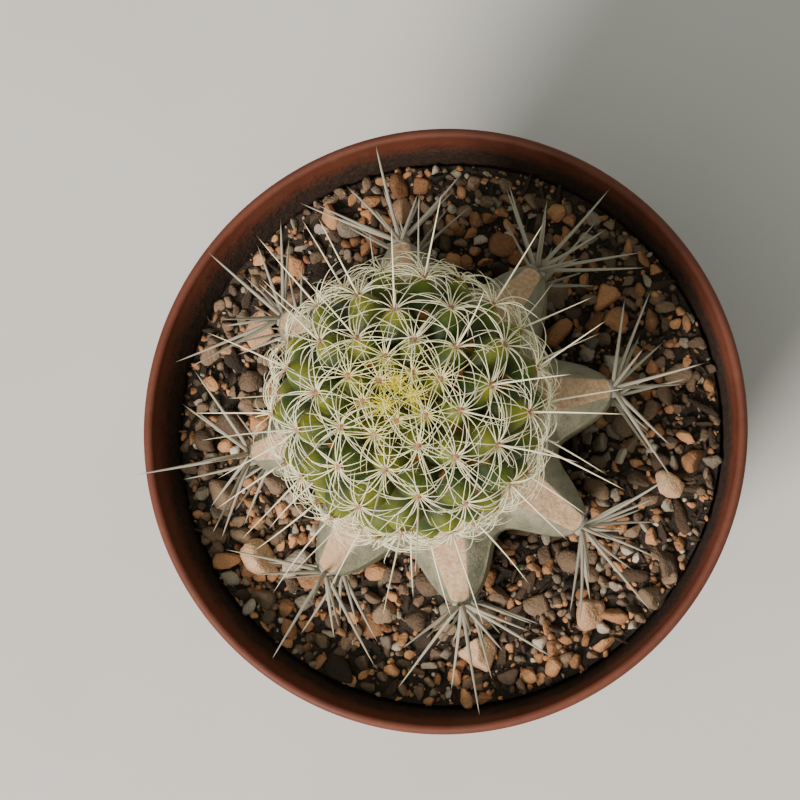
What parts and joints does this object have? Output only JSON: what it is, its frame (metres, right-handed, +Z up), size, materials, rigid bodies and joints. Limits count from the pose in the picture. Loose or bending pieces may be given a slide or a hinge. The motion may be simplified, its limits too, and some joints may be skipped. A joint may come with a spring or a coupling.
{
  "type": "potted grafted cactus",
  "caption": "Round, white-spined cactus grafted on a short ribbed rootstock, growing in gritty mix in a round plastic nursery pot.",
  "frame": {"origin": "centre of the pot's foot, on the surface that the pot stands on", "axes": "+Z up along the pot's axis, through the rootstock and the round scion"},
  "size_m": [0.085, 0.085, 0.1311],
  "materials": {
    "pot_plastic": "satin",
    "potting_mix": "matte",
    "grit": "matte",
    "rootstock_skin": "satin",
    "scion_skin": "satin",
    "rootstock_spine": "matte",
    "scion_spine": "satin"
  },
  "bodies": {
    "root": {"pot": "pot_plastic", "potting_soil": "potting_mix", "grit_stone_01": "grit", "grit_stone_02": "grit", "grit_stone_03": "grit", "grit_stone_04": "grit", "grit_stone_05": "grit", "grit_stone_06": "grit", "rootstock": "rootstock_skin", "rootstock_spines_01": "rootstock_spine", "rootstock_spines_02": "rootstock_spine", "rootstock_spines_03": "rootstock_spine", "rootstock_spines_04": "rootstock_spine", "rootstock_spines_05": "rootstock_spine", "rootstock_spines_06": "rootstock_spine", "rootstock_spines_07": "rootstock_spine", "rootstock_spines_08": "rootstock_spine", "scion": "scion_skin", "scion_spines_01": "scion_spine", "scion_spines_02": "scion_spine", "scion_spines_03": "scion_spine", "scion_spines_04": "scion_spine", "scion_spines_05": "scion_spine", "scion_spines_06": "scion_spine", "scion_spines_07": "scion_spine", "scion_spines_08": "scion_spine", "scion_spines_09": "scion_spine", "scion_spines_10": "scion_spine", "scion_spines_11": "scion_spine", "scion_spines_12": "scion_spine", "scion_spines_13": "scion_spine", "scion_spines_14": "scion_spine", "scion_spines_15": "scion_spine", "scion_spines_16": "scion_spine", "scion_spines_17": "scion_spine", "scion_spines_18": "scion_spine", "scion_spines_19": "scion_spine", "scion_spines_20": "scion_spine", "scion_spines_21": "scion_spine", "scion_spines_22": "scion_spine", "scion_spines_23": "scion_spine", "scion_spines_24": "scion_spine", "scion_spines_25": "scion_spine", "scion_spines_26": "scion_spine", "scion_spines_27": "scion_spine", "scion_spines_28": "scion_spine", "scion_spines_29": "scion_spine", "scion_spines_30": "scion_spine", "scion_spines_31": "scion_spine", "scion_spines_32": "scion_spine", "scion_spines_33": "scion_spine", "scion_spines_34": "scion_spine", "scion_spines_35": "scion_spine", "scion_spines_36": "scion_spine", "scion_spines_37": "scion_spine", "scion_spines_38": "scion_spine", "scion_spines_39": "scion_spine", "scion_spines_40": "scion_spine", "scion_spines_41": "scion_spine", "scion_spines_42": "scion_spine"}
  },
  "joints": []
}
